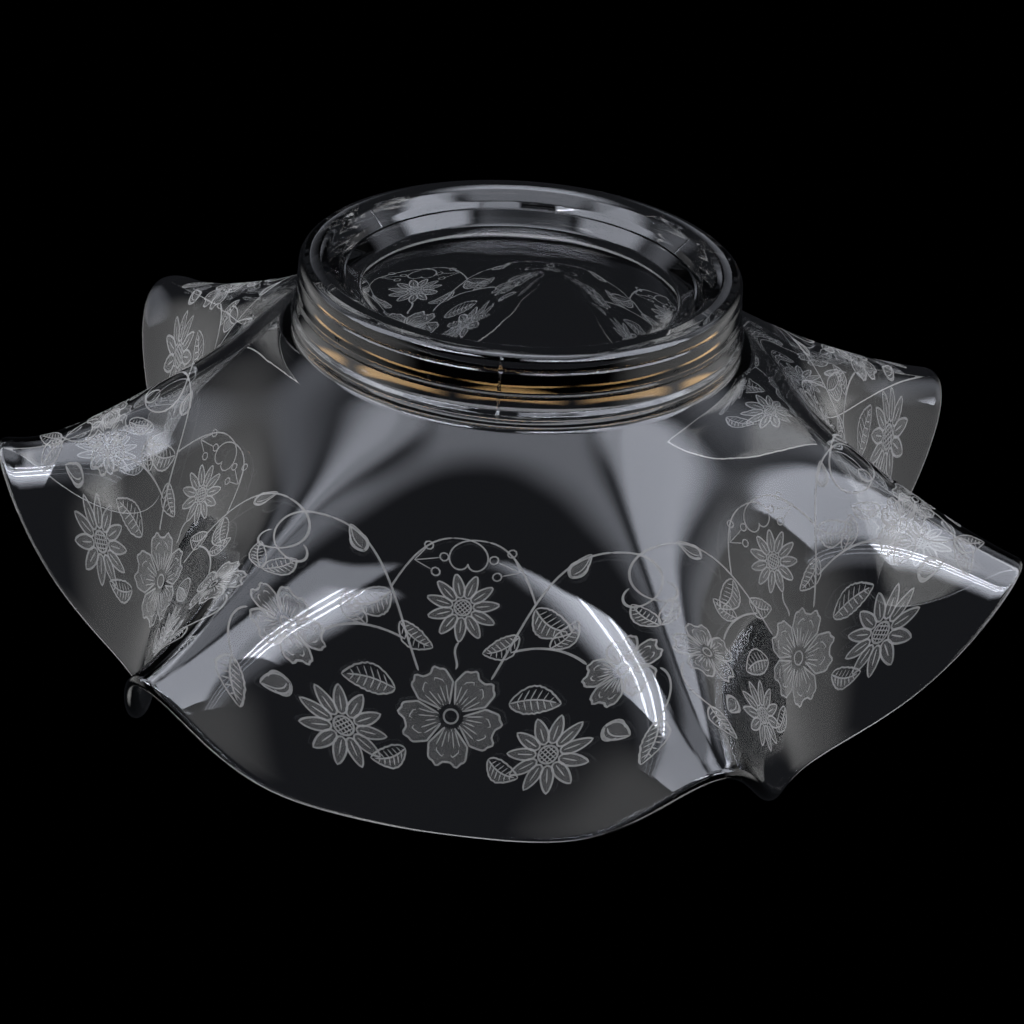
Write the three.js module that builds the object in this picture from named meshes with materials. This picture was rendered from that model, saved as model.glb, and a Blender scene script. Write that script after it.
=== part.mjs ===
// Crimped centerpiece bowl, pressed in clear glass as one piece.
// Millimetres, +Z up, origin on the bowl's axis in the plane that the foot ring rests on.
// The bowl is made the way the glass was: a round blank is revolved from one profile,
// and its wall is then bent into seven crimps and the raised panels between them.

import * as THREE from "three";
import { mergeVertices } from "three/addons/utils/BufferGeometryUtils.js";

// Foot ring: a domed ring round a recess, with a flat band on its crown
const RECESS_DEPTH = 9.6;
const RECESS_FLOOR_RADIUS = 45.0;
const RING_INNER_RADIUS = 51.3;
const RING_INNER_HEIGHT = 5.5;
const RING_FLAT_INNER_RADIUS = 58.6;
const RING_FLAT_OUTER_RADIUS = 61.8;
const RING_OUTER_RADIUS = 65.0;

// Bands up the outside of the foot, as heights above the table
const PARTING_LINE_HEIGHT = 4.8;
const RIDGE_HEIGHT = 11.6;
const BAND_TOP_HEIGHT = 15.9;
const COLLAR_RADIUS = 67.2;
const COLLAR_LOW_HEIGHT = 17.7;
const COLLAR_HIGH_HEIGHT = 18.9;

// Wall, from the groove above the collar: a round flared blank, before it is bent
const WALL_FOOT_RADIUS = 66.8;
const WALL_FOOT_HEIGHT = 21.4;
const BLANK_REACH = 88.0;
const BLANK_RISE = 58.5;
const BLANK_RISE_CURVE = 1.03;

// Rim of the bent wall, at the middle of a panel and at the crest of a crimp
const BEND_ONSET = 1.9;
const PANEL_RIM_RADIUS = 123.6;
const PANEL_RIM_RISE = 91.8;
const CRIMP_RIM_RADIUS = 158.3;
const CRIMP_RIM_RISE = 45.6;

// Each crimp as made by hand: azimuth in degrees from the front (-Y) towards +X, how far its tip
// reaches past the radius and the rise above and droops at its very end, in millimetres,
// and the half angle in degrees of the fold on its crest
const CRIMPS = [
  { azimuth: 32.9, reach: -3.4, lift: -3.0, droop: 2.4, foldHalfAngle: 4.8 },
  { azimuth: 84.3, reach: -8.2, lift: 2.7, droop: 5.2, foldHalfAngle: 6.1 },
  { azimuth: 129.4, reach: 1.9, lift: -3.6, droop: 2.1, foldHalfAngle: 9.5 },
  { azimuth: 186.0, reach: -15.5, lift: 0, droop: 1.5, foldHalfAngle: 5.5 },
  { azimuth: 242.8, reach: -0.4, lift: -4.8, droop: -0.6, foldHalfAngle: 8.0 },
  { azimuth: 286.1, reach: -5.2, lift: -1.5, droop: -0.2, foldHalfAngle: 6.4 },
  { azimuth: 337.6, reach: -9.6, lift: 8.9, droop: 4.2, foldHalfAngle: 5.5 },
];

// Shape of a crimp: a broad swell between panels, a narrow fold on its crest and a flared tip
const SWELL_POWER = 1.0;
const SWELL_SHARE_OF_REACH = 0.8;
const SWELL_SHARE_OF_RISE = 0.48;
const TIP_REACH = 3.4;
const TIP_ONSET = 10;
const TIP_TO_FOLD_WIDTH = 1.55;

// Glass thickness, and the well inside
const COLLAR_THICKNESS = 4.8;
const RIM_THICKNESS = 3.4;
const THINNING_POWER = 0.6;
const WELL_FLOOR_HEIGHT = 14.7;
const WELL_FLOOR_RADIUS = 44.0;
const WELL_BEND_RADIUS = 58.5;

// Mesh density
const STEPS_PER_CRIMP = 16;
const WALL_STEPS = 12;
const RIM_STEPS = 4;
const WELL_STEPS = 4;
const CROWDING = 0.42;
const ROW_SPACING_POWER = 1.15;
const INNER_WALL_START = 0.035;

const FULL_TURN = 360;
const toRadians = THREE.MathUtils.degToRad;
const lerp = THREE.MathUtils.lerp;

// The gap in degrees from one crimp to the next
function crimpGap(index) {
  const here = CRIMPS[index % CRIMPS.length].azimuth;
  const next = CRIMPS[(index + 1) % CRIMPS.length].azimuth;
  return (next - here + FULL_TURN) % FULL_TURN;
}

// Azimuth of a station round the bowl: stations crowd towards the folds
function stationAzimuth(station) {
  const index = Math.floor(station / STEPS_PER_CRIMP) % CRIMPS.length;
  const t = (station % STEPS_PER_CRIMP) / STEPS_PER_CRIMP;
  const eased = t - (CROWDING * Math.sin(2 * Math.PI * t)) / (2 * Math.PI);
  return CRIMPS[index].azimuth + crimpGap(index) * eased;
}

// A bell curve: 1 at the crest, falling away with the turn from it in degrees
function bell(turn, halfAngle) {
  return Math.exp(-0.5 * Math.pow(turn / halfAngle, 2));
}

// The nearest crimp to an azimuth, and how much of its swell, its fold and its tip is felt there.
// All three fade to nothing midway to the next crimp.
function crimpAt(azimuth) {
  let best = null;
  CRIMPS.forEach((crimp, index) => {
    const turn = (azimuth - crimp.azimuth + 1.5 * FULL_TURN) % FULL_TURN - FULL_TURN / 2;
    const gap = turn >= 0 ? crimpGap(index) : crimpGap(index + CRIMPS.length - 1);
    const share = Math.abs(turn) / (gap / 2);
    if (!best || share < best.share) best = { crimp, turn, share };
  });
  const share = Math.min(best.share, 1);
  const swell = Math.pow(0.5 + 0.5 * Math.cos(Math.PI * share), SWELL_POWER);
  const fade = Math.pow(1 - Math.pow(share, 4), 2);
  const fold = fade * bell(best.turn, best.crimp.foldHalfAngle);
  const tip = fade * bell(best.turn, TIP_TO_FOLD_WIDTH * best.crimp.foldHalfAngle);
  return { crimp: best.crimp, swell, fold, tip };
}

// Outer face of the wall: run goes from 0 at the collar to 1 at the rim
function wallFace(run, azimuth) {
  const { crimp, swell, fold, tip } = crimpAt(azimuth);
  const outward = lerp(swell, fold, (1 - SWELL_SHARE_OF_REACH) * run);
  const downward = lerp(swell, fold, (1 - SWELL_SHARE_OF_RISE) * run);
  const handwork = lerp(swell, fold, run / 2);
  const rimRadius = lerp(PANEL_RIM_RADIUS, CRIMP_RIM_RADIUS, outward) + crimp.reach * handwork;
  const rimRise = lerp(PANEL_RIM_RISE, CRIMP_RIM_RISE, downward) + crimp.lift * handwork;
  const bend = Math.pow(run, BEND_ONSET);
  const flare = tip * Math.pow(run, TIP_ONSET);
  const blankRadius = WALL_FOOT_RADIUS + BLANK_REACH * run;
  const blankRise = BLANK_RISE * Math.pow(run, BLANK_RISE_CURVE);
  const pull = rimRadius - WALL_FOOT_RADIUS - BLANK_REACH;
  const radius = blankRadius + bend * pull + flare * TIP_REACH;
  const rise = blankRise + bend * (rimRise - BLANK_RISE) - flare * crimp.droop;
  return polar(radius, azimuth, WALL_FOOT_HEIGHT + rise);
}

function polar(radius, azimuth, height) {
  const angle = toRadians(azimuth);
  return new THREE.Vector3(radius * Math.sin(angle), -radius * Math.cos(angle), height);
}

// Directions on the wall: up along it towards the rim, and inwards through the glass
function wallFrame(run, azimuth) {
  const runStep = 0.002;
  const turnStep = 0.1;
  const low = Math.max(run - runStep, runStep / 2);
  const high = Math.min(run + runStep, 1);
  const along = wallFace(high, azimuth).sub(wallFace(low, azimuth)).normalize();
  const around = wallFace(run, azimuth + turnStep).sub(wallFace(run, azimuth - turnStep)).normalize();
  const inwards = new THREE.Vector3().crossVectors(around, along).negate().normalize();
  return { along, inwards };
}

function thickness(run) {
  return lerp(COLLAR_THICKNESS, RIM_THICKNESS, Math.pow(run, THINNING_POWER));
}

// A point of the wall at some depth below its outer face
function inWall(run, azimuth, depth) {
  const { inwards } = wallFrame(run, azimuth);
  return wallFace(run, azimuth).addScaledVector(inwards, depth);
}

// The fire-polished rim: a half round from the outer face over to the inner face
function rimPoint(turn, azimuth) {
  const { along, inwards } = wallFrame(1, azimuth);
  const half = RIM_THICKNESS / 2;
  return wallFace(1, azimuth)
    .addScaledVector(inwards, half * (1 - Math.cos(turn)))
    .addScaledVector(along, half * Math.sin(turn));
}

// The well: a curve from the foot of the inner wall down to the flat inner floor
function wellPoint(t, azimuth) {
  const start = inWall(INNER_WALL_START, azimuth, thickness(INNER_WALL_START));
  const bend = polar(WELL_BEND_RADIUS, azimuth, WELL_FLOOR_HEIGHT);
  const floor = polar(WELL_FLOOR_RADIUS, azimuth, WELL_FLOOR_HEIGHT);
  return new THREE.QuadraticBezierCurve3(start, bend, floor).getPoint(t);
}

// Underside and side of the foot, as radius and height: recess, domed ring with its flat band,
// the fine groove at the mould's parting line, a ridge, and the rolled collar lip
function footOutline() {
  return [
    [0, RECESS_DEPTH],
    [RECESS_FLOOR_RADIUS, RECESS_DEPTH],
    [RECESS_FLOOR_RADIUS + 2.0, RECESS_DEPTH - 0.7],
    [RING_INNER_RADIUS, RING_INNER_HEIGHT],
    [RING_INNER_RADIUS + 3.2, RING_INNER_HEIGHT / 2],
    [RING_FLAT_INNER_RADIUS - 1.8, 0.7],
    [RING_FLAT_INNER_RADIUS, 0],
    [RING_FLAT_OUTER_RADIUS, 0],
    [RING_OUTER_RADIUS - 1.3, 0.5],
    [RING_OUTER_RADIUS - 0.2, 1.6],
    [RING_OUTER_RADIUS, PARTING_LINE_HEIGHT - 0.5],
    [RING_OUTER_RADIUS - 0.4, PARTING_LINE_HEIGHT],
    [RING_OUTER_RADIUS + 0.1, PARTING_LINE_HEIGHT + 0.5],
    [RING_OUTER_RADIUS + 0.3, RIDGE_HEIGHT - 0.8],
    [RING_OUTER_RADIUS + 0.8, RIDGE_HEIGHT],
    [RING_OUTER_RADIUS + 0.5, RIDGE_HEIGHT + 0.8],
    [RING_OUTER_RADIUS + 0.8, BAND_TOP_HEIGHT],
    [COLLAR_RADIUS - 0.5, BAND_TOP_HEIGHT + 0.8],
    [COLLAR_RADIUS, COLLAR_LOW_HEIGHT],
    [COLLAR_RADIUS, COLLAR_HIGH_HEIGHT],
    [COLLAR_RADIUS - 0.7, COLLAR_HIGH_HEIGHT + 1.5],
  ];
}

// Rows up the wall lie closer together near the foot
function wallRow(i) {
  return Math.pow(i / WALL_STEPS, ROW_SPACING_POWER);
}

// The whole meridian, from the axis under the foot, round the rim, to the axis in the well
function meridian() {
  const points = footOutline().map(([radius, height]) => (azimuth) => polar(radius, azimuth, height));
  for (let i = 0; i < WALL_STEPS; i += 1) {
    const run = wallRow(i);
    points.push((azimuth) => wallFace(run, azimuth));
  }
  for (let i = 0; i <= RIM_STEPS; i += 1) {
    const turn = (Math.PI * i) / RIM_STEPS;
    points.push((azimuth) => rimPoint(turn, azimuth));
  }
  for (let i = WALL_STEPS - 1; i > 0; i -= 1) {
    const run = wallRow(i);
    points.push((azimuth) => inWall(run, azimuth, thickness(run)));
  }
  for (let i = 0; i <= WELL_STEPS; i += 1) {
    const t = i / WELL_STEPS;
    points.push((azimuth) => wellPoint(t, azimuth));
  }
  points.push((azimuth) => polar(0, azimuth, WELL_FLOOR_HEIGHT));
  return points;
}

// A revolved blank gives the faces, and each of its points then takes its place on the crimped bowl
function crimpedBowl() {
  const outline = meridian();
  const segments = STEPS_PER_CRIMP * CRIMPS.length;
  const profile = outline.map((place, row) => {
    const onAxis = row === 0 || row === outline.length - 1;
    return new THREE.Vector2(onAxis ? 0 : 1, row);
  });
  const blank = new THREE.LatheGeometry(profile, segments);
  const position = blank.getAttribute("position");
  for (let station = 0; station <= segments; station += 1) {
    const azimuth = stationAzimuth(station % segments);
    outline.forEach((place, row) => {
      const point = place(azimuth);
      position.setXYZ(station * outline.length + row, point.x, point.y, point.z);
    });
  }
  blank.deleteAttribute("normal");
  blank.deleteAttribute("uv");
  const bowl = mergeVertices(blank, 1e-4);
  bowl.computeVertexNormals();
  return bowl;
}

function clearGlass() {
  return new THREE.MeshStandardMaterial({
    color: 0xe9eef0,
    roughness: 0.03,
    metalness: 0,
    transparent: true,
    opacity: 0.35,
  });
}

const bowl = new THREE.Mesh(crimpedBowl(), clearGlass());
bowl.name = "bowl";

const centerpiece = new THREE.Group();
centerpiece.add(bowl);

export default centerpiece;
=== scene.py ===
import math

import bpy
import numpy as np
from mathutils import Matrix, Vector


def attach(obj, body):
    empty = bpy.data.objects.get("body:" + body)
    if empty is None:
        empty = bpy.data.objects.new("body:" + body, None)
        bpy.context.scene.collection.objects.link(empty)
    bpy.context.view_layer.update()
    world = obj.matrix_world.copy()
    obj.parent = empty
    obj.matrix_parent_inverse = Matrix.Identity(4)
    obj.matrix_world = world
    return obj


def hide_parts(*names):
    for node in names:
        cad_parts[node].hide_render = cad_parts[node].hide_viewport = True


# A crimped centerpiece bowl of clear pressed glass with frosted flower sprays.
# Sizes are in millimetres and are turned into metres where a mesh, lamp or camera is made.

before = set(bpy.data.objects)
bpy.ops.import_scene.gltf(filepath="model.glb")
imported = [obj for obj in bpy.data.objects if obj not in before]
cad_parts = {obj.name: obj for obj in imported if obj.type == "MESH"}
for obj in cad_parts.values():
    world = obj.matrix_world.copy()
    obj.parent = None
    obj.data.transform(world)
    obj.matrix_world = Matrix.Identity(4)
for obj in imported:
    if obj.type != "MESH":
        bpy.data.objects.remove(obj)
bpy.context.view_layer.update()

MM = 0.001

# Camera: it stands to the bowl as it stood to the overturned one, so it looks up at the foot from below
IMAGE_SIZE = 1024
FOCAL_PIXELS = 1845.5
SENSOR_WIDTH = 36.0
CAMERA_DISTANCE = 545.91
CAMERA_TILT = 23.52
CAMERA_ROLL = 3.93
AIM_PIXEL_X = 521.31
AIM_PIXEL_Y = 268.41
AIM_HEIGHT = 3.3

# Foot of the bowl
RECESS_DEPTH = 9.6
RECESS_FLOOR_RADIUS = 45.0
RING_INNER_RADIUS = 51.3
RING_INNER_HEIGHT = 5.5
RING_FLAT_INNER_RADIUS = 58.6
RING_FLAT_OUTER_RADIUS = 61.8
RING_OUTER_RADIUS = 65.0
PARTING_LINE_HEIGHT = 4.8
RIDGE_HEIGHT = 11.6
BAND_TOP_HEIGHT = 15.9
COLLAR_RADIUS = 67.2
COLLAR_LOW_HEIGHT = 17.7
COLLAR_HIGH_HEIGHT = 18.9

# Wall of the bowl: a round flared blank, whose upper part is bent into panels and crimps
WALL_FOOT_RADIUS = 66.8
WALL_FOOT_HEIGHT = 21.4
BLANK_REACH = 88.0
BLANK_RISE = 58.5
BLANK_RISE_CURVE = 1.03
BEND_ONSET = 1.9
PANEL_RIM_RADIUS = 123.6
PANEL_RIM_RISE = 91.8
CRIMP_RIM_RADIUS = 158.3
CRIMP_RIM_RISE = 45.6
SWELL_SHARE_OF_REACH = 0.8
SWELL_SHARE_OF_RISE = 0.48
TIP_REACH = 3.4
TIP_ONSET = 10.0
TIP_TO_FOLD_WIDTH = 1.55

# The crimps, as the CAD part has them: azimuth from the front (-Y) towards +X, reach and lift of
# the tip, its droop at the very end, and the half angle of the fold on its crest
CRIMPS = (
    (32.9, -3.4, -3.0, 2.4, 4.8),
    (84.3, -8.2, 2.7, 5.2, 6.1),
    (129.4, 1.9, -3.6, 2.1, 9.5),
    (186.0, -15.5, 0.0, 1.5, 5.5),
    (242.8, -0.4, -4.8, -0.6, 8.0),
    (286.1, -5.2, -1.5, -0.2, 6.4),
    (337.6, -9.6, 8.9, 4.2, 5.5),
)

# Thickness of the glass, and the well
COLLAR_THICKNESS = 4.8
RIM_THICKNESS = 3.4
THINNING_POWER = 0.6
WELL_FLOOR_HEIGHT = 14.7
WELL_FLOOR_RADIUS = 44.0
WELL_BEND_RADIUS = 58.5
INNER_WALL_START = 0.035
RUN_STEP = 0.002
TURN_STEP = 0.1

# Mesh density
STEPS_PER_CRIMP = 54
CROWDING = 0.42
OUTER_WALL_STEPS = 58
OUTER_WALL_CROWDING = 1.15
INNER_WALL_STEPS = 34
RIM_STEPS = 10
WELL_STEPS = 12
ROUNDING_STEPS = 3
LARGEST_CORNER_SHARE = 0.42

# Mould seams: three fine raised lines over the foot, worn away on the ring's crown
SEAM_AZIMUTHS = (3.2, 123.2, 243.2)
SEAM_HEIGHT = 0.28
SEAM_HALF_ANGLE = 0.22
SEAM_SHARPNESS = 0.6
SEAM_STATIONS = 7
SEAM_WORN_HEIGHT = 0.6
SEAM_WORN_RISE = 1.2
SEAM_FADE = 2.0

# Frosted sprays
WALL_LENGTH = 108.0
ETCH_RUNS = (0.01, 0.985)
ETCH_LIFT = 0.05
ETCH_STEP = 0.7
STROKE_TIP_SHARE = 0.35
OUTLINE_WIDTH = 0.5
STEM_WIDTH = 0.58
VEIN_WIDTH = 0.3
LEAF_EDGE_WIDTH = OUTLINE_WIDTH * 0.85
LEAF_RIB_WIDTH = OUTLINE_WIDTH * 0.8
SMALL_STEM_WIDTH = STEM_WIDTH * 0.8
SMALL_CURL_WIDTH = STEM_WIDTH * 0.7
CURL_STEPS = 60
CURL_LENGTH = 4.4
DAISY_PETALS = 11
STAMENS = 12
BERRY_RADIUS = 1.1


def lerp(a, b, t):
    return a + (b - a) * t


def polar(radius, azimuth, height):
    """Points at a radius, an azimuth in degrees from -Y towards +X, and a height."""
    angle = np.radians(azimuth)
    parts = np.broadcast_arrays(radius * np.sin(angle), -radius * np.cos(angle), height)
    return np.stack(parts, axis=-1)


def crimp_gaps():
    """The gap in degrees from each crimp to the next."""
    azimuths = np.array([crimp[0] for crimp in CRIMPS])
    return (np.roll(azimuths, -1) - azimuths) % 360.0


def crimp_at(azimuth):
    """The nearest crimp, and how much of its swell, its fold and its tip is felt at each azimuth."""
    crimps = np.array(CRIMPS)
    gaps = crimp_gaps()
    turn = (azimuth[..., None] - crimps[:, 0] + 540.0) % 360.0 - 180.0
    gap = np.where(turn >= 0.0, gaps, np.roll(gaps, 1))
    share = np.abs(turn) / (gap / 2.0)
    nearest = share.argmin(axis=-1)[..., None]
    near_turn = np.take_along_axis(turn, nearest, -1)[..., 0]
    near_share = np.minimum(np.take_along_axis(share, nearest, -1)[..., 0], 1.0)
    crimp = crimps[nearest[..., 0]]
    swell = 0.5 + 0.5 * np.cos(np.pi * near_share)
    fade = (1.0 - near_share**4) ** 2
    fold = fade * np.exp(-0.5 * (near_turn / crimp[..., 4]) ** 2)
    tip = fade * np.exp(-0.5 * (near_turn / (TIP_TO_FOLD_WIDTH * crimp[..., 4])) ** 2)
    return crimp, swell, fold, tip


def wall_face(run, azimuth):
    """Outer face of the wall: run goes from 0 at the collar to 1 at the rim."""
    run, azimuth = np.broadcast_arrays(np.asarray(run, float), np.asarray(azimuth, float))
    crimp, swell, fold, tip = crimp_at(azimuth)
    outward = lerp(swell, fold, (1.0 - SWELL_SHARE_OF_REACH) * run)
    downward = lerp(swell, fold, (1.0 - SWELL_SHARE_OF_RISE) * run)
    handwork = lerp(swell, fold, 0.5 * run)
    rim_radius = lerp(PANEL_RIM_RADIUS, CRIMP_RIM_RADIUS, outward) + crimp[..., 1] * handwork
    rim_rise = lerp(PANEL_RIM_RISE, CRIMP_RIM_RISE, downward) + crimp[..., 2] * handwork
    blank_radius = WALL_FOOT_RADIUS + BLANK_REACH
    bend = run**BEND_ONSET
    tip = tip * run**TIP_ONSET
    radius = WALL_FOOT_RADIUS + BLANK_REACH * run + bend * (rim_radius - blank_radius) + TIP_REACH * tip
    rise = BLANK_RISE * run**BLANK_RISE_CURVE + bend * (rim_rise - BLANK_RISE) - crimp[..., 3] * tip
    return polar(radius, azimuth, WALL_FOOT_HEIGHT + rise)


def unit(vectors):
    return vectors / np.linalg.norm(vectors, axis=-1, keepdims=True)


def wall_directions(run, azimuth):
    """Directions up along the wall, and inwards through the glass."""
    run = np.asarray(run, float)
    low = np.maximum(run - RUN_STEP, RUN_STEP / 2.0)
    high = np.minimum(run + RUN_STEP, 1.0)
    along = unit(wall_face(high, azimuth) - wall_face(low, azimuth))
    around = unit(wall_face(run, azimuth + TURN_STEP) - wall_face(run, azimuth - TURN_STEP))
    return along, unit(-np.cross(around, along))


def thickness(run):
    return lerp(COLLAR_THICKNESS, RIM_THICKNESS, run**THINNING_POWER)


def in_wall(run, azimuth, depth):
    return wall_face(run, azimuth) + wall_directions(run, azimuth)[1] * depth


def rim_row(turn, azimuth):
    """One row of the half round over the rim, from the outer face at 0 to the inner face at pi."""
    along, inwards = wall_directions(1.0, azimuth)
    half = RIM_THICKNESS / 2.0
    across = inwards * half * (1.0 - math.cos(turn))
    return wall_face(1.0, azimuth) + across + along * half * math.sin(turn)


def well_row(t, azimuth):
    """One row of the curve from the foot of the inner wall down to the flat floor of the well."""
    start = in_wall(INNER_WALL_START, azimuth, thickness(INNER_WALL_START))
    bend = polar(WELL_BEND_RADIUS, azimuth, WELL_FLOOR_HEIGHT)
    floor = polar(WELL_FLOOR_RADIUS, azimuth, WELL_FLOOR_HEIGHT)
    return start * (1.0 - t) ** 2 + bend * 2.0 * t * (1.0 - t) + floor * t**2


def foot_corners():
    """Outline of the foot as radius, height and rounding: recess, domed ring, bands and collar."""
    return (
        (RECESS_FLOOR_RADIUS - 2.0, RECESS_DEPTH, 0.0),
        (RECESS_FLOOR_RADIUS + 2.4, RECESS_DEPTH, 2.2),
        (RING_INNER_RADIUS - 0.1, RING_INNER_HEIGHT, 0.25),
        (RING_INNER_RADIUS + 0.6, RING_INNER_HEIGHT - 0.2, 0.35),
        (RING_INNER_RADIUS + 1.9, 3.6, 3.0),
        (RING_FLAT_INNER_RADIUS - 2.0, 0.85, 4.5),
        (RING_FLAT_INNER_RADIUS + 0.2, 0.0, 2.0),
        (RING_FLAT_OUTER_RADIUS - 0.2, 0.0, 3.0),
        (RING_OUTER_RADIUS - 1.3, 0.5, 2.6),
        (RING_OUTER_RADIUS - 0.2, 1.6, 2.4),
        (RING_OUTER_RADIUS, PARTING_LINE_HEIGHT - 0.5, 0.4),
        (RING_OUTER_RADIUS - 0.4, PARTING_LINE_HEIGHT, 0.3),
        (RING_OUTER_RADIUS + 0.1, PARTING_LINE_HEIGHT + 0.5, 0.4),
        (RING_OUTER_RADIUS + 0.45, (PARTING_LINE_HEIGHT + RIDGE_HEIGHT) / 2.0, 9.0),
        (RING_OUTER_RADIUS + 0.3, RIDGE_HEIGHT - 0.8, 1.0),
        (RING_OUTER_RADIUS + 0.8, RIDGE_HEIGHT, 0.5),
        (RING_OUTER_RADIUS + 0.5, RIDGE_HEIGHT + 0.8, 1.0),
        (RING_OUTER_RADIUS + 0.8, BAND_TOP_HEIGHT, 0.8),
        (COLLAR_RADIUS - 0.4, BAND_TOP_HEIGHT + 0.9, 0.9),
        (COLLAR_RADIUS, COLLAR_LOW_HEIGHT, 1.2),
        (COLLAR_RADIUS, COLLAR_HIGH_HEIGHT, 1.2),
        (COLLAR_RADIUS - 0.7, COLLAR_HIGH_HEIGHT + 1.5, 0.9),
        (WALL_FOOT_RADIUS, WALL_FOOT_HEIGHT, 0.0),
    )


def rounded_outline(corners):
    """The outline with an arc at each corner, which takes up at most a share of the edges beside it."""
    points = [np.array(corners[0][:2])]
    for before, corner, after in zip(corners, corners[1:], corners[2:]):
        here = np.array(corner[:2])
        back = np.array(before[:2]) - here
        ahead = np.array(after[:2]) - here
        reach_back, reach_ahead = np.linalg.norm(back), np.linalg.norm(ahead)
        back, ahead = back / reach_back, ahead / reach_ahead
        half_turn = (math.pi - math.acos(np.clip(back @ ahead, -1.0, 1.0))) / 2.0
        shorter = min(reach_back, reach_ahead)
        cut = min(corner[2] * math.tan(half_turn), LARGEST_CORNER_SHARE * shorter)
        start, end = here + back * cut, here + ahead * cut
        for step in range(ROUNDING_STEPS + 1):
            t = step / ROUNDING_STEPS
            points.append(start * (1.0 - t) ** 2 + here * 2.0 * t * (1.0 - t) + end * t**2)
    points.append(np.array(corners[-1][:2]))
    return points


def foot_normals(points):
    """Outward normals of the outline in its own plane."""
    tangents = np.gradient(np.array(points), axis=0)
    return unit(np.stack([tangents[:, 1], -tangents[:, 0]], axis=-1))


def station_azimuths():
    """Azimuths of the stations round the bowl, closer together at the folds and on the seams."""
    azimuths = []
    for crimp, gap in zip(CRIMPS, crimp_gaps()):
        t = np.arange(STEPS_PER_CRIMP) / STEPS_PER_CRIMP
        eased = t - CROWDING * np.sin(2.0 * np.pi * t) / (2.0 * np.pi)
        azimuths.extend(crimp[0] + gap * eased)
    for seam in SEAM_AZIMUTHS:
        azimuths.extend(seam + SEAM_HALF_ANGLE * np.linspace(-2.0, 2.0, SEAM_STATIONS))
    return np.unique(np.round(np.mod(azimuths, 360.0), 4))


def seam_profile(azimuth):
    """How proud the mould seams stand round the foot, from 0 to 1."""
    proud = np.zeros_like(azimuth)
    for seam in SEAM_AZIMUTHS:
        away = (azimuth - seam + 180.0) % 360.0 - 180.0
        proud = np.maximum(proud, np.exp(-0.5 * (away / (SEAM_SHARPNESS * SEAM_HALF_ANGLE)) ** 2))
    return proud


def bowl_rows(azimuth):
    """Rows of points from the recess under the foot, round the rim, to the floor of the well."""
    outline = rounded_outline(foot_corners())
    rows = []
    for (radius, height), (out, up) in zip(outline, foot_normals(outline)):
        off_crown = np.clip((height - SEAM_WORN_HEIGHT) / SEAM_WORN_RISE, 0.0, 1.0)
        off_recess = np.clip((radius - RING_INNER_RADIUS) / SEAM_FADE, 0.0, 1.0)
        below_wall = np.clip((WALL_FOOT_HEIGHT - height) / SEAM_FADE, 0.0, 1.0)
        proud = SEAM_HEIGHT * off_crown * off_recess * below_wall * seam_profile(azimuth)
        rows.append(polar(radius + out * proud, azimuth, height + up * proud))
    for run in np.linspace(0.0, 1.0, OUTER_WALL_STEPS + 1)[1:-1] ** OUTER_WALL_CROWDING:
        rows.append(wall_face(run, azimuth))
    for turn in np.linspace(0.0, math.pi, RIM_STEPS + 1):
        rows.append(rim_row(turn, azimuth))
    for run in np.linspace(1.0, INNER_WALL_START, INNER_WALL_STEPS)[1:-1]:
        rows.append(in_wall(run, azimuth, thickness(run)))
    for t in np.linspace(0.0, 1.0, WELL_STEPS + 1):
        rows.append(well_row(t, azimuth))
    return rows


def mesh_object(name, points, faces):
    """A smooth-shaded mesh object from points in millimetres."""
    mesh = bpy.data.meshes.new(name)
    mesh.from_pydata((np.asarray(points) * MM).tolist(), [], faces)
    mesh.polygons.foreach_set("use_smooth", [True] * len(mesh.polygons))
    mesh.update()
    made = bpy.data.objects.new(name, mesh)
    bpy.context.scene.collection.objects.link(made)
    return made


def ring_faces(row_count, column_count):
    """Quads of a tube of closed rows."""
    row = np.arange(row_count - 1)[:, None] * column_count
    next_row = row + column_count
    here = np.arange(column_count)[None]
    beside = (here + 1) % column_count
    quads = np.stack([row + here, next_row + here, next_row + beside, row + beside], axis=-1)
    return quads.reshape(-1, 4)


def glass_bowl():
    """The whole bowl as one closed skin, with a fan of faces in the recess and on the well's floor."""
    azimuth = station_azimuths()
    rows = bowl_rows(azimuth)
    columns = len(azimuth)
    points = np.concatenate(rows)
    faces = [list(reversed(quad)) for quad in ring_faces(len(rows), columns).tolist()]
    under_centre = len(points)
    well_centre = under_centre + 1
    centres = [[0.0, 0.0, RECESS_DEPTH], [0.0, 0.0, WELL_FLOOR_HEIGHT]]
    last_row = (len(rows) - 1) * columns
    for here in range(columns):
        beside = (here + 1) % columns
        faces.append([under_centre, here, beside][::-1])
        faces.append([well_centre, last_row + beside, last_row + here][::-1])
    return mesh_object("glass_bowl", np.concatenate([points, centres]), faces)


# Drawing of the sprays: a point is a complex number, in millimetres across the panel and up the wall


def placed(shape, centre, turn, mirrored):
    """A drawn shape turned by degrees, moved to its centre and, for the left side, mirrored."""
    moved = np.asarray(shape) * np.exp(1j * math.radians(turn)) + centre
    return -np.conj(moved) if mirrored else moved


def curve(start, start_pull, end_pull, end, steps=40):
    """A smooth stroke from start to end, leaving and arriving along its pulls."""
    t = np.linspace(0.0, 1.0, steps)
    return (
        start * (1 - t) ** 3
        + 3 * start_pull * t * (1 - t) ** 2
        + 3 * end_pull * t**2 * (1 - t)
        + end * t**3
    )


def curl(start, heading, size, turns):
    """A tendril that winds in on itself."""
    t = np.linspace(0.0, 1.0, CURL_STEPS)
    bearing = math.radians(heading) + 2.0 * math.pi * turns * t**1.4
    strides = np.exp(1j * bearing) * size * (1.0 - 0.72 * t)
    return start + np.concatenate([[0.0], np.cumsum(strides[:-1])]) * (CURL_LENGTH / CURL_STEPS)


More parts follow.
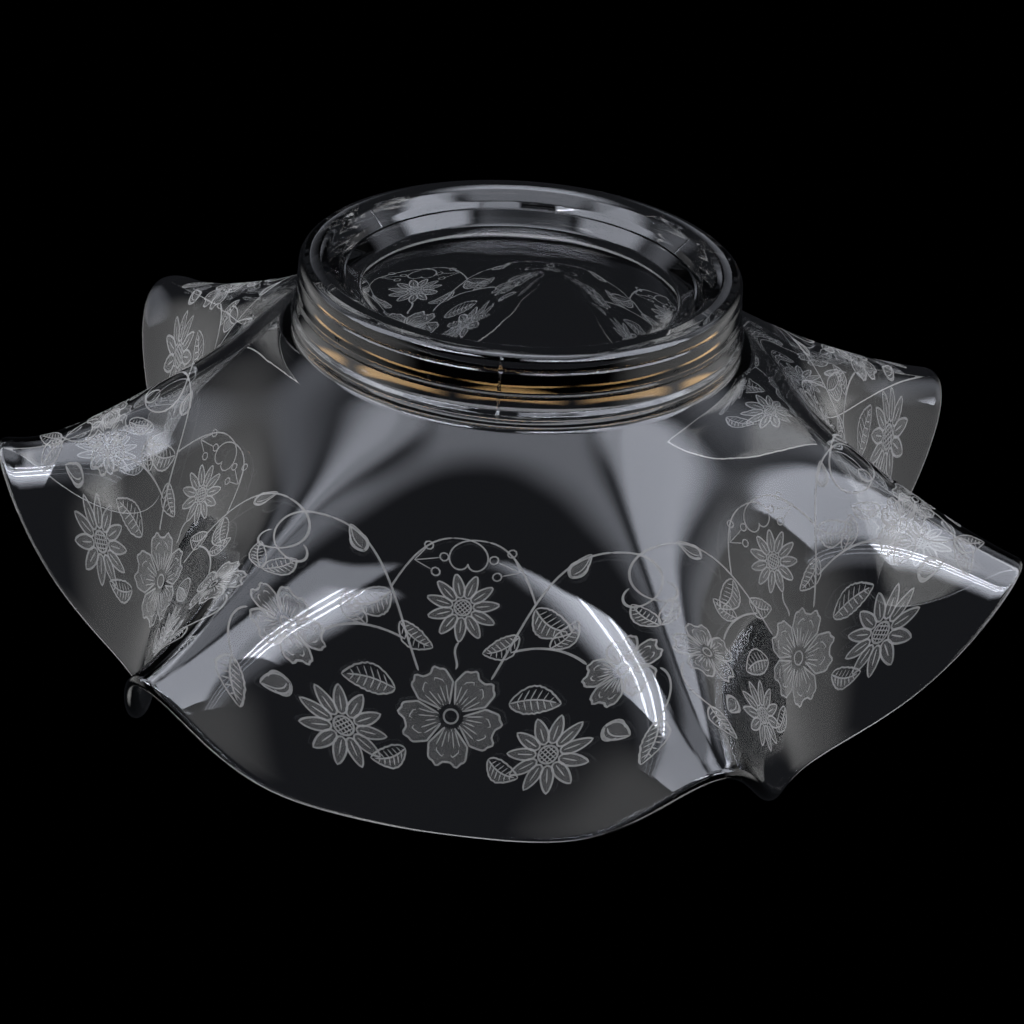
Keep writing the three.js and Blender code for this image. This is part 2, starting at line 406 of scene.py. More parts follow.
def circle(radius, steps=24):
    return radius * np.exp(1j * np.linspace(0.0, 2.0 * math.pi, steps + 1))


class Spray:
    """Strokes and frosted patches of one spray."""

    def __init__(self):
        self.strokes = []
        self.patches = []

    def stroke(self, points, width):
        self.strokes.append((np.asarray(points), width))

    def patch(self, near_edge, far_edge, steps=3):
        """A frosted area between two edges with as many points each."""
        t = np.linspace(0.0, 1.0, steps + 1)[:, None]
        self.patches.append(np.asarray(near_edge)[None] * (1 - t) + np.asarray(far_edge)[None] * t)


def draw_wild_rose(spray, centre, radius, turn, mirrored):
    """Five notched petals with rolled edges, fine rays and a ring of stamens."""
    angle = np.radians(np.linspace(-34.0, 34.0, 29))
    edge = radius * (1.0 - 0.34 * np.abs(angle / angle[-1]) ** 3.2)
    edge = edge * (1.0 - 0.13 * np.exp(-((angle / 0.13) ** 2))) * (1.0 + 0.025 * np.cos(angle * 31.0))
    outer = edge * np.exp(1j * angle)
    inner = 0.24 * radius * np.exp(1j * angle * 0.7)
    fold = (0.8 * edge) * np.exp(1j * angle * 0.72)
    for petal in range(5):
        facing = turn + 72.0 * petal
        outline = np.concatenate([inner[:1], outer, inner[-1:]])
        spray.stroke(placed(outline, centre, facing, mirrored), OUTLINE_WIDTH)
        spray.stroke(placed(fold[3:12], centre, facing, mirrored), VEIN_WIDTH)
        spray.stroke(placed(fold[17:26], centre, facing, mirrored), VEIN_WIDTH)
        spray.patch(placed(inner, centre, facing, mirrored), placed(outer, centre, facing, mirrored))
        for ray in (-22.0, -11.0, 0.0, 11.0, 22.0):
            reach = 0.62 if ray else 0.5
            line = np.linspace(0.3, reach, 6) * radius * np.exp(1j * math.radians(ray))
            spray.stroke(placed(line, centre, facing, mirrored), VEIN_WIDTH)
    spray.stroke(placed(circle(0.14 * radius), centre, 0.0, mirrored), OUTLINE_WIDTH)
    for stamen in range(STAMENS):
        facing = 360.0 / STAMENS * stamen + 9.0
        head = 0.265 * radius + circle(0.022 * radius, 6)
        spray.stroke(placed(head, centre, facing, mirrored), VEIN_WIDTH)


def draw_daisy(spray, centre, radius, turn, mirrored):
    """Long round-ended petals round a crosshatched eye."""
    t = np.linspace(0.0, 1.0, 17)
    half_width = 0.15 * radius * np.sin(np.pi * t**0.72) ** 0.62
    spine = radius * lerp(0.28, 1.0, t)
    for petal in range(DAISY_PETALS):
        facing = turn + 360.0 * petal / DAISY_PETALS
        left, right = spine + 1j * half_width, spine - 1j * half_width
        outline = np.concatenate([left, right[::-1]])
        spray.stroke(placed(outline, centre, facing, mirrored), LEAF_EDGE_WIDTH)
        spray.stroke(placed(spine[2:11], centre, facing, mirrored), VEIN_WIDTH)
        spray.patch(placed(left, centre, facing, mirrored), placed(right, centre, facing, mirrored), 2)
    eye = 0.23 * radius
    spray.stroke(placed(circle(eye), centre, 0.0, mirrored), OUTLINE_WIDTH)
    for line in np.linspace(-0.6, 0.6, 4) * eye:
        half = math.sqrt(eye**2 - line**2)
        for way in (45.0, -45.0):
            hatch = np.linspace(-half, half, 5) + 1j * line
            spray.stroke(placed(hatch, centre, way, mirrored), VEIN_WIDTH)


def draw_leaf(spray, base, length, turn, mirrored, bend=0.12):
    """A pointed leaf with a toothed edge, a midrib and side veins. One half is frosted."""
    t = np.linspace(0.0, 1.0, 41)
    spine = length * (t + 1j * bend * np.sin(np.pi * t))
    teeth = 1.0 + 0.14 * ((t * 9.0) % 1.0 - 0.5)
    half_width = 0.29 * length * np.sin(np.pi * t**0.85) ** 0.8 * teeth
    left, right = spine + 1j * half_width, spine - 1j * half_width
    for edge in (left, right):
        spray.stroke(placed(edge, base, turn, mirrored), LEAF_EDGE_WIDTH)
    spray.stroke(placed(spine[:37], base, turn, mirrored), LEAF_RIB_WIDTH)
    for rib in range(6, 34, 5):
        for side in (left, right):
            tip = lerp(spine[rib + 3], side[rib + 3], 0.78)
            spray.stroke(placed(np.linspace(spine[rib], tip, 5), base, turn, mirrored), VEIN_WIDTH)
    spray.patch(placed(spine, base, turn, mirrored), placed(left, base, turn, mirrored), 2)


def draw_bud(spray, base, length, turn, mirrored):
    """A closed bud in its cup of sepals."""
    t = np.linspace(0.0, 1.0, 15)
    half_width = 0.27 * length * np.sin(np.pi * t**0.7) ** 0.8
    left, right = length * t + 1j * half_width, length * t - 1j * half_width
    for edge in (left, right):
        spray.stroke(placed(edge, base, turn, mirrored), LEAF_EDGE_WIDTH)
    crease = length * curve(0.1, 0.3 + 0.2j, 0.6 + 0.16j, 0.95, 9)
    spray.stroke(placed(crease, base, turn, mirrored), VEIN_WIDTH)
    for side in (1.0, -1.0):
        sepal = length * curve(-0.05, 0.1 + 0.42j * side, 0.45 + 0.4j * side, 0.62 + 0.16j * side, 12)
        spray.stroke(placed(sepal, base, turn, mirrored), LEAF_RIB_WIDTH)
    spray.patch(placed(left, base, turn, mirrored), placed(right, base, turn, mirrored), 2)


def draw_berries(spray, base, turn, mirrored):
    """Three berries on short stalks."""
    for way, reach in ((-38.0, 4.6), (0.0, 6.4), (38.0, 4.6)):
        stalk = np.linspace(0.0, reach, 7)
        spray.stroke(placed(stalk, base, turn + way, mirrored), VEIN_WIDTH)
        berry = reach + BERRY_RADIUS + circle(BERRY_RADIUS, 12)
        spray.stroke(placed(berry, base, turn + way, mirrored), LEAF_RIB_WIDTH)


def draw_spray():
    """The spray of one panel: a rose in the middle, daisies beside it, and scrolling stems above."""
    spray = Spray()
    draw_wild_rose(spray, 0 + 79j, 13.0, 90.0, False)
    draw_daisy(spray, 0 + 51j, 9.0, 90.0, False)
    spray.stroke(curve(0 + 60j, 2 + 63j, -1 + 65j, 0 + 67j, 12), STEM_WIDTH)
    for mirrored in (False, True):
        draw_daisy(spray, 24.5 + 88j, 9.5, 20.0, mirrored)
        draw_wild_rose(spray, 38.5 + 71j, 8.6, 48.0, mirrored)
        stem = curve(9 + 69j, 16 + 54j, 20 + 36j, 34 + 38j)
        spray.stroke(placed(stem, 0, 0, mirrored), STEM_WIDTH)
        spray.stroke(placed(curl(34 + 38j, 10.0, 13.0, 0.92), 0, 0, mirrored), STEM_WIDTH)
        side_stem = curve(13 + 62j, 20 + 60j, 26 + 62j, 30.5 + 67j)
        spray.stroke(placed(side_stem, 0, 0, mirrored), STEM_WIDTH)
        outer_stem = curve(46.5 + 74j, 50 + 77j, 50 + 84j, 46 + 89j)
        spray.stroke(placed(outer_stem, 0, 0, mirrored), SMALL_STEM_WIDTH)
        inner_stem = curve(17.5 + 50j, 14 + 40j, 10 + 34j, 4.5 + 33j)
        spray.stroke(placed(inner_stem, 0, 0, mirrored), SMALL_STEM_WIDTH)
        spray.stroke(placed(curl(4.5 + 33j, 188.0, 7.0, -0.8), 0, 0, mirrored), SMALL_CURL_WIDTH)
        draw_leaf(spray, 17.5 + 51j, 11.5, 38.0, mirrored)
        draw_leaf(spray, 14.5 + 58j, 9.5, 152.0, mirrored, -0.12)
        draw_leaf(spray, 22.0 + 61.5j, 8.5, -48.0, mirrored)
        draw_leaf(spray, 14.0 + 75j, 12.0, 4.0, mirrored, -0.1)
        draw_leaf(spray, 10.5 + 89j, 9.0, 30.0, mirrored)
        draw_leaf(spray, 47.0 + 88j, 9.5, 108.0, mirrored, -0.1)
        draw_leaf(spray, 46.5 + 62j, 8.5, -70.0, mirrored, 0.1)
        draw_bud(spray, 36.0 + 84j, 7.0, 40.0, mirrored)
        draw_bud(spray, 25.0 + 43j, 7.0, -52.0, mirrored)
        draw_berries(spray, 13.0 + 41j, 205.0 if mirrored else 200.0, mirrored)
    return spray


def on_wall(drawn, centre_azimuth):
    """Drawn points laid just outside the outer face of a panel."""
    run = np.clip(np.imag(drawn) / WALL_LENGTH, *ETCH_RUNS)
    radius = lerp(WALL_FOOT_RADIUS, PANEL_RIM_RADIUS, run)
    azimuth = centre_azimuth + np.degrees(np.real(drawn) / radius)
    inwards = wall_directions(run, azimuth)[1]
    return wall_face(run, azimuth) - inwards * ETCH_LIFT


def resampled(stroke):
    """The stroke with its points about one etching step apart."""
    lengths = np.concatenate([[0.0], np.cumsum(np.abs(np.diff(stroke)))])
    count = max(int(lengths[-1] / ETCH_STEP), 2)
    places = np.linspace(0.0, lengths[-1], count + 1)
    return np.interp(places, lengths, stroke.real) + 1j * np.interp(places, lengths, stroke.imag)


def stroke_mesh(name, strokes, centre_azimuth):
    """Every stroke of a spray as a flat ribbon with tapered ends."""
    drawn, faces = [], []
    for stroke, width in strokes:
        line = resampled(stroke)
        heading = np.gradient(line)
        heading = heading / np.maximum(np.abs(heading), 1e-6)
        taper = np.ones(len(line))
        if abs(line[0] - line[-1]) > ETCH_STEP:
            taper[0] = taper[-1] = STROKE_TIP_SHARE
        side = 1j * heading * taper * width / 2.0
        first = sum(len(part) for part in drawn)
        drawn.append(np.stack([line + side, line - side], axis=-1).ravel())
        for step in range(len(line) - 1):
            corner = first + 2 * step
            faces.append((corner, corner + 1, corner + 3, corner + 2))
    return mesh_object(name, on_wall(np.concatenate(drawn), centre_azimuth), faces)


def patch_mesh(name, patches, centre_azimuth):
    """The lightly frosted areas inside petals and leaves."""
    drawn, faces = [], []
    for patch in patches:
        rows, columns = patch.shape
        first = sum(len(part) for part in drawn)
        drawn.append(patch.ravel())
        for row in range(rows - 1):
            for column in range(columns - 1):
                corner = first + row * columns + column
                faces.append((corner, corner + 1, corner + columns + 1, corner + columns))
    return mesh_object(name, on_wall(np.concatenate(drawn), centre_azimuth), faces)


# Materials

GLASS_IOR = 1.52
GLASS_WAVE_SIZE = 24.0
GLASS_WAVE_DEPTH = 0.1
GLASS_RING_DEPTH = 0.02
SCUFF_ROUGHNESS = 0.12
GLASS_COOL = (0.965, 0.975, 0.985, 1.0)
GLASS_CLEAR = (0.985, 0.985, 0.99, 1.0)
GLASS_SHADOW = (0.92, 0.93, 0.94, 1.0)
FROST_IOR = 1.45
FROST_ROUGHNESS = 0.85
FROST_GRAIN_DEPTH = 0.05
FROST_TINT = (("Red", 0.985), ("Green", 0.99), ("Blue", 1.0))
LINE_GREYS = (0.62, 0.9)
LINE_COVER = 0.38
FROST_GREYS = (0.55, 0.85)
FROST_COVER = 0.11
TABLE_DARK = (0.50, 0.50, 0.51, 1.0)
TABLE_LIGHT = (0.56, 0.56, 0.565, 1.0)


def node_maker(tree):
    """A short way to add a node to a tree and set its values and links."""

    def make(kind, values=None, links=None, **settings):
        node = tree.nodes.new(kind)
        for key, value in settings.items():
            setattr(node, key, value)
        for key, value in (values or {}).items():
            node.inputs[key].default_value = value
        for key, output in (links or {}).items():
            tree.links.new(output, node.inputs[key])
        return node

    return make


def calculate(make, operation, first, second):
    """One step of arithmetic on two numbers or outputs."""
    parts = {0: first, 1: second}
    values = {key: part for key, part in parts.items() if isinstance(part, float)}
    links = {key: part for key, part in parts.items() if not isinstance(part, float)}
    return make("ShaderNodeMath", operation=operation, values=values, links=links).outputs[0]


def place_in_mm(make):
    """The place on the object in millimetres."""
    place = make("ShaderNodeTexCoord").outputs["Object"]
    per_mm = {"Scale": 1.0 / MM}
    return make("ShaderNodeVectorMath", operation="SCALE", values=per_mm, links={0: place}).outputs[0]


def new_material(name):
    material = bpy.data.materials.new(name)
    material.use_nodes = True
    material.node_tree.nodes.clear()
    return material, node_maker(material.node_tree)


def new_group(name, inputs, outputs):
    """An empty shader node group with number inputs and its outputs, by name and kind."""
    group = bpy.data.node_groups.new(name, "ShaderNodeTree")
    for label, default in inputs:
        socket = group.interface.new_socket(name=label, in_out="INPUT", socket_type="NodeSocketFloat")
        socket.default_value = default
    for label, kind in outputs:
        group.interface.new_socket(name=label, in_out="OUTPUT", socket_type=kind)
    return group, node_maker(group)


def hand_worked_surface():
    """Group: slow waves from hot working, fine tool rings round the axis, and small handling marks."""
    group, make = new_group(
        "hand_worked_surface",
        (("Wave Size", 22.0), ("Ring Spacing", 1.3), ("Ring Depth", 0.2), ("Wear", 0.3)),
        (("Height", "NodeSocketFloat"), ("Wear Mask", "NodeSocketFloat")),
    )
    link = group.links.new
    given = make("NodeGroupInput")
    in_mm = place_in_mm(make)
    wave_scale = calculate(make, "DIVIDE", 1.0, given.outputs["Wave Size"])
    waves = make(
        "ShaderNodeTexNoise",
        values={"Detail": 1.0, "Roughness": 0.4},
        links={"Vector": in_mm, "Scale": wave_scale},
    )
    reach = make("ShaderNodeVectorMath", operation="LENGTH", links={0: in_mm}).outputs["Value"]
    ring_turn = calculate(make, "DIVIDE", reach, given.outputs["Ring Spacing"])
    ring_line = make("ShaderNodeTexNoise", values={"Scale": 1.0, "Detail": 2.0}, noise_dimensions="1D")
    link(ring_turn, ring_line.inputs["W"])
    uneven = make("ShaderNodeTexNoise", values={"Scale": 0.03, "Detail": 1.0}, links={"Vector": in_mm})
    ring_depth = calculate(make, "MULTIPLY", given.outputs["Ring Depth"], uneven.outputs["Fac"])
    rings = calculate(make, "MULTIPLY", ring_line.outputs["Fac"], ring_depth)
    scuffs = make(
        "ShaderNodeTexNoise",
        values={"Scale": 1.6, "Detail": 3.0, "Roughness": 0.7},
        links={"Vector": in_mm},
    )
    spots = make(
        "ShaderNodeMapRange",
        values={"From Min": 0.66, "From Max": 0.8, "To Min": 0.0, "To Max": 1.0},
        links={"Value": scuffs.outputs["Fac"]},
    )
    done = make("NodeGroupOutput")
    link(calculate(make, "ADD", waves.outputs["Fac"], rings), done.inputs["Height"])
    link(calculate(make, "MULTIPLY", spots.outputs[0], given.outputs["Wear"]), done.inputs["Wear Mask"])
    return group


def clear_glass(surface):
    """Clear fire-polished glass, with soft waves, tool rings and small handling marks."""
    material, make = new_material("clear_glass")
    link = material.node_tree.links.new
    worked = make("ShaderNodeGroup", node_tree=surface)
    worked.inputs["Wave Size"].default_value = GLASS_WAVE_SIZE
    worked.inputs["Ring Depth"].default_value = GLASS_RING_DEPTH
    bump = make(
        "ShaderNodeBump",
        values={"Strength": 1.0, "Distance": GLASS_WAVE_DEPTH * MM},
        links={"Height": worked.outputs["Height"]},
    )
    roughness = make(
        "ShaderNodeMapRange",
        values={"To Min": 0.0, "To Max": SCUFF_ROUGHNESS},
        links={"Value": worked.outputs["Wear Mask"]},
    )
    tint = make("ShaderNodeTexNoise", values={"Scale": 9.0, "Detail": 1.0})
    shade = make("ShaderNodeMix", data_type="RGBA", links={"Factor": tint.outputs["Fac"]})
    shade.inputs["A"].default_value = GLASS_COOL
    shade.inputs["B"].default_value = GLASS_CLEAR
    glass = make(
        "ShaderNodeBsdfPrincipled",
        values={"Transmission Weight": 1.0, "IOR": GLASS_IOR, "Metallic": 0.0},
        links={"Normal": bump.outputs["Normal"], "Roughness": roughness.outputs[0]},
    )
    link(shade.outputs["Result"], glass.inputs["Base Color"])
    see_through = make("ShaderNodeBsdfTransparent", values={"Color": GLASS_SHADOW})
    light_path = make("ShaderNodeLightPath")
    mix = make("ShaderNodeMixShader", links={"Fac": light_path.outputs["Is Shadow Ray"]})
    link(glass.outputs[0], mix.inputs[1])
    link(see_through.outputs[0], mix.inputs[2])
    output = make("ShaderNodeOutputMaterial")
    link(mix.outputs[0], output.inputs["Surface"])
    return material


def etch_grain():
    """Group: the crystalline unevenness of an acid-frosted surface, as a colour and a height."""
    group, make = new_group(
        "etch_grain",
        (("Grain Size", 0.35), ("Darkest", 0.7), ("Lightest", 0.92)),
        (("Color", "NodeSocketColor"), ("Height", "NodeSocketFloat")),
    )
    link = group.links.new
    given = make("NodeGroupInput")
    in_mm = place_in_mm(make)
    scale = calculate(make, "DIVIDE", 1.0, given.outputs["Grain Size"])
    grain = make(
        "ShaderNodeTexNoise",
        values={"Detail": 3.0, "Roughness": 0.6},
        links={"Vector": in_mm, "Scale": scale},
    )
    cloud = make("ShaderNodeTexNoise", values={"Scale": 0.12, "Detail": 2.0}, links={"Vector": in_mm})
    level = make(
        "ShaderNodeMapRange",
        values={"From Min": 0.7, "From Max": 1.3},
        links={
            "Value": calculate(make, "ADD", grain.outputs["Fac"], cloud.outputs["Fac"]),
            "To Min": given.outputs["Darkest"],
            "To Max": given.outputs["Lightest"],
        },
    )
    colour = make("ShaderNodeCombineColor")
    for channel, share in FROST_TINT:
        link(calculate(make, "MULTIPLY", level.outputs[0], share), colour.inputs[channel])
    done = make("NodeGroupOutput")
    link(colour.outputs[0], done.inputs["Color"])
    link(grain.outputs["Fac"], done.inputs["Height"])
    return group


def frosted(name, grain, darkest, lightest, alpha):
    """Frosted glass of an etched line or area."""
    material, make = new_material(name)
    link = material.node_tree.links.new
    etched = make("ShaderNodeGroup", node_tree=grain)
    etched.inputs["Darkest"].default_value = darkest
    etched.inputs["Lightest"].default_value = lightest
    bump = make(
        "ShaderNodeBump",
        values={"Strength": 0.5, "Distance": FROST_GRAIN_DEPTH * MM},
        links={"Height": etched.outputs["Height"]},
    )
    matt = make(
        "ShaderNodeBsdfPrincipled",
        values={"Roughness": FROST_ROUGHNESS, "Alpha": alpha, "IOR": FROST_IOR, "Metallic": 0.0},
        links={"Base Color": etched.outputs["Color"], "Normal": bump.outputs["Normal"]},
    )
    output = make("ShaderNodeOutputMaterial")
    link(matt.outputs[0], output.inputs["Surface"])
    return material


def pale_floor():
    """A pale matt table top. It isn't there from below, in mirror images and for shadows."""
    material, make = new_material("pale_table_top")
    link = material.node_tree.links.new
    mottle = make("ShaderNodeTexNoise", values={"Scale": 3.0, "Detail": 4.0})
    shade = make("ShaderNodeMix", data_type="RGBA", links={"Factor": mottle.outputs["Fac"]})
    shade.inputs["A"].default_value = TABLE_DARK
    shade.inputs["B"].default_value = TABLE_LIGHT
    matt = make("ShaderNodeBsdfPrincipled", values={"Roughness": 0.8, "Specular IOR Level": 0.2})
    link(shade.outputs["Result"], matt.inputs["Base Color"])
    clear = make("ShaderNodeBsdfTransparent")
    light_path = make("ShaderNodeLightPath")
    from_below = make("ShaderNodeNewGeometry").outputs["Backfacing"]
    reflected = light_path.outputs["Glossy Depth"]
    shadow = light_path.outputs["Is Shadow Ray"]
    indirect = calculate(make, "MAXIMUM", reflected, shadow)
    absent = calculate(make, "MAXIMUM", indirect, from_below)
    absent.node.use_clamp = True
    mix = make("ShaderNodeMixShader", links={"Fac": absent})
    link(matt.outputs[0], mix.inputs[1])
    link(clear.outputs[0], mix.inputs[2])
    output = make("ShaderNodeOutputMaterial")
    link(mix.outputs[0], output.inputs["Surface"])
    return material


# Studio

TABLE_RADII = (40.0, 160.0, 500.0, 1200.0, 3200.0)
TABLE_FACET_ANGLE = 7.5
TABLE_DROP = 0.2
HAZE_COLOUR = (0.8, 0.85, 1.0, 1.0)
HAZE_STRENGTH = 0.01
STUDIO_DISTANCE = 3000.0
STUDIO_AIM = Vector((0.0, 0.0, 50.0))

# Lamps on level planes below the bowl, as shares of the studio distance: depth, start and end of the
# middle line, width, brightness, and softness of the ends and the sides. Each has a depth of its own,
# so that their light adds up. A dark gap is left in front, where the camera stands.
LIGHT_PANELS = (
    ("panel_east", 1.000, (0.38, -0.12), (2.6, -0.12), 1.1, 5.0, 0.12, 0.5),
    ("panel_west", 1.000, (-0.38, -0.22), (-2.6, -0.22), 1.3, 6.4, 0.12, 0.35),
    ("panel_west_inner", 0.998, (-0.44, -0.72), (-0.03, -0.72), 0.56, 4.4, 0.25, 0.3),
    ("panel_middle", 1.004, (0.0, -0.42), (0.0, 0.50), 0.84, 2.6, 0.6, 0.35),
    ("panel_back", 1.010, (0.0, 0.15), (0.0, 0.70), 0.7, 5.0, 0.9, 0.7),
    ("far_east", 1.012, (0.45, 0.8), (3.4, 0.8), 1.4, 1.1, 0.4, 1.0),
    ("far_west", 1.012, (-0.45, 0.8), (-3.4, 0.8), 1.4, 1.1, 0.4, 1.0),
    ("edge_east", 0.994, (0.40, -0.10), (0.40, 0.25), 0.16, 3.0, 0.9, 1.0),
    ("edge_west", 0.994, (-0.40, -0.05), (-0.40, 0.25), 0.16, 4.0, 0.9, 1.0),
    ("haze_east", 1.002, (0.45, 1.7), (0.45, 3.6), 0.5, 0.8, 1.0, 1.0),
    ("haze_west", 1.002, (-0.35, 1.7), (-0.35, 3.6), 0.4, 0.8, 1.0, 1.0),
)
PANEL_COLOUR = (0.84, 0.88, 1.0)

# Light bars along the front edges of the panels, each with a dim tail: start and end, brightness of
# the glow and of the fine lines, and spacing of the lines
LIGHT_BARS = (
    ("bar_west", (-0.17, -0.93), (-1.3, -0.93), 10.0, 28.0, 0.075),
    ("bar_west_tail", (-1.1, -0.93), (-3.2, -0.93), 1.6, 3.0, 0.075),
    ("bar_east", (0.27, -0.64), (1.0, -0.65), 12.0, 28.0, 0.11),
    ("bar_east_tail", (0.9, -0.65), (2.6, -0.66), 0.8, 1.5, 0.11),
)

BAR_DEPTH = 0.98
BAR_DEPTH_STEP = 0.006
BAR_LINE_LIFT = 0.002
BAR_GLOW_WIDTH = 0.75
BAR_GLOW_OFFSET = 0.1
BAR_LINE_WIDTH = 0.04
BAR_END_SOFTNESS = 0.1

# Softboxes: azimuth and elevation of the middle, width and height in degrees, and brightness
SOFTBOXES = (
    ("west_wall", -95.0, 2.0, 100.0, 70.0, 0.85),
    ("east_wall", 95.0, 2.0, 100.0, 70.0, 0.85),
    ("overhead_key", -40.0, 62.0, 44.0, 34.0, 2.4),
    ("overhead_fill", 100.0, 68.0, 40.0, 30.0, 1.4),
)
BOX_SOFTNESS = 0.6

# Warm cards close round the foot, whose polished sides mirror them. They lean down, so that they
# send no light to the wall. Their numbers are those of the softboxes, as seen from their own aim.
WARM_CARDS = (
    ("warm_card_front", 0.0, 12.5, 42.0, 5.8, 6.0),
    ("warm_card_right", 42.0, 12.5, 42.0, 5.8, 6.5),
    ("warm_card_left", -42.0, 12.5, 42.0, 5.8, 5.5),
    ("warm_card_east", 78.0, 12.5, 30.0, 5.8, 4.0),
    ("warm_card_west", -78.0, 12.5, 30.0, 5.8, 5.0),
)
WARM_CARD_DISTANCE = 112.0
WARM_CARD_AIM = Vector((0.0, 0.0, 8.0))
WARM_CARD_LEAN = 60.0
WARM = (1.0, 0.62, 0.26)

# Plain light that no polished surface mirrors: from above for the floor, from below for frosted glass
FILLS = (
    ("floor_light_west", -80.0, 60.0, 40.0, 34.0, 6.0),
    ("floor_light_east", 100.0, 64.0, 40.0, 30.0, 6.0),
    ("under_fill_east", 100.0, -20.0, 80.0, 60.0, 1.5),
    ("under_fill_west", -100.0, -20.0, 80.0, 60.0, 1.0),
)


def direction(azimuth, elevation):
    """The direction at an azimuth and an elevation in degrees."""
    flat = math.cos(math.radians(elevation))
    turn = math.radians(azimuth)
    return Vector((flat * math.sin(turn), -flat * math.cos(turn), math.sin(math.radians(elevation))))


def soften(lamp, end_softness, side_softness):
    """Lets the brightness of a lamp's face fall off smoothly towards its ends and its sides."""
    lamp.use_nodes = True
    lamp.node_tree.nodes.clear()
    make = node_maker(lamp.node_tree)
    place = make("ShaderNodeSeparateXYZ", links={0: make("ShaderNodeNewGeometry").outputs["Parametric"]})
    falls = []
    for axis, softness in (("X", end_softness), ("Y", side_softness)):
        off_middle = calculate(make, "SUBTRACT", place.outputs[axis], 0.5)
        away = make("ShaderNodeMath", operation="ABSOLUTE", links={0: off_middle})
        fall = make(
            "ShaderNodeMapRange",
            values={"From Min": 0.5, "From Max": 0.5 - 0.5 * softness},
            links={"Value": away.outputs[0]},
            interpolation_type="SMOOTHSTEP",
        )
        falls.append(fall.outputs[0])
    emission = make("ShaderNodeEmission", links={"Strength": calculate(make, "MULTIPLY", *falls)})
    make("ShaderNodeOutputLight", links={"Surface": emission.outputs[0]})


def area_lamp(name, length, width, brightness, end_softness, side_softness):
    """A rectangular lamp of a given brightness, not seen by the camera or through the glass."""
    lamp = bpy.data.lights.new(name, "AREA")
    lamp.shape = "RECTANGLE"
    lamp.size = length * MM
    lamp.size_y = width * MM
    lamp.energy = brightness * math.pi * lamp.size * lamp.size_y
    soften(lamp, end_softness, side_softness)
    holder = bpy.data.objects.new(name, lamp)
    holder.visible_camera = False
    holder.visible_transmission = False
    bpy.context.scene.collection.objects.link(holder)
    return holder


def card_lamp(name, azimuth, elevation, width, height, brightness, distance, aim, lean):
    """A lamp that is seen from its aim at a given angular size, and leans down from it by an angle."""
    length = 2.0 * distance * math.tan(math.radians(width / 2.0))
    breadth = 2.0 * distance * math.tan(math.radians(height / 2.0))
    holder = area_lamp(name, length, breadth, brightness, BOX_SOFTNESS, BOX_SOFTNESS)
    holder.location = (aim + direction(azimuth, elevation) * distance) * MM
    holder.rotation_euler = direction(azimuth, elevation + lean).to_track_quat("Z", "Y").to_euler()
    return holder


def softbox(*box):
    """A far lamp that faces the studio's aim."""
    return card_lamp(*box, STUDIO_DISTANCE, STUDIO_AIM, 0.0)


def light_panel(name, depth, start, end, width, brightness, end_softness, side_softness):
    """A lamp on a level plane below the bowl, shining upwards."""
    start, end = Vector((*start, -depth)), Vector((*end, -depth))
    along = end - start
    length = along.length * STUDIO_DISTANCE
    holder = area_lamp(name, length, width * STUDIO_DISTANCE, brightness, end_softness, side_softness)
    holder.data.color = PANEL_COLOUR
    holder.visible_diffuse = False
    holder.location = (STUDIO_AIM + (start + end) / 2.0 * STUDIO_DISTANCE) * MM
    upwards = Matrix.Rotation(math.pi, 3, "X")
    turned = Matrix.Rotation(math.atan2(along.y, along.x), 3, "Z")
    holder.rotation_euler = (turned @ upwards).to_euler()


def light_bar(name, depth, start, end, glow, lines, spacing):
    """A bar of three fine bright lines in a soft glow that is wider towards the front."""
    shift = -BAR_GLOW_OFFSET
    behind, ahead = (start[0], start[1] + shift), (end[0], end[1] + shift)
    light_panel(name, depth, behind, ahead, BAR_GLOW_WIDTH, glow, BAR_END_SOFTNESS, 1.0)
    along = complex(end[0] - start[0], end[1] - start[1])
    aside = 1j * along / abs(along) * spacing
    line_depth = depth - BAR_LINE_LIFT
    for number, side in enumerate((-1, 0, 1), start=1):
        off = aside * side
        first = (start[0] + off.real, start[1] + off.imag)
        last = (end[0] + off.real, end[1] + off.imag)
        line = f"{name}_line_{number}"
        light_panel(line, line_depth, first, last, BAR_LINE_WIDTH, lines, BAR_END_SOFTNESS, 1.0)


def studio():
    """The dark room with its lamps."""
    world = bpy.data.worlds.new("dark_studio")
    world.use_nodes = True
    background = world.node_tree.nodes["Background"]
    background.inputs["Color"].default_value = HAZE_COLOUR
    make = node_maker(world.node_tree)
    seen = make("ShaderNodeLightPath").outputs["Is Camera Ray"]
    levels = {"To Min": HAZE_STRENGTH, "To Max": 0.0}
    haze = make("ShaderNodeMapRange", values=levels, links={"Value": seen})
    world.node_tree.links.new(haze.outputs[0], background.inputs["Strength"])
    bpy.context.scene.world = world
    for panel in LIGHT_PANELS:
        light_panel(*panel)
    for number, bar in enumerate(LIGHT_BARS):
        light_bar(bar[0], BAR_DEPTH - BAR_DEPTH_STEP * number, *bar[1:])
    for fill in FILLS:
        softbox(*fill).visible_glossy = False
    for box in SOFTBOXES:
        softbox(*box)
    for card in WARM_CARDS:
        lamp = card_lamp(*card, WARM_CARD_DISTANCE, WARM_CARD_AIM, WARM_CARD_LEAN)
        lamp.data.color = WARM
        lamp.visible_diffuse = False


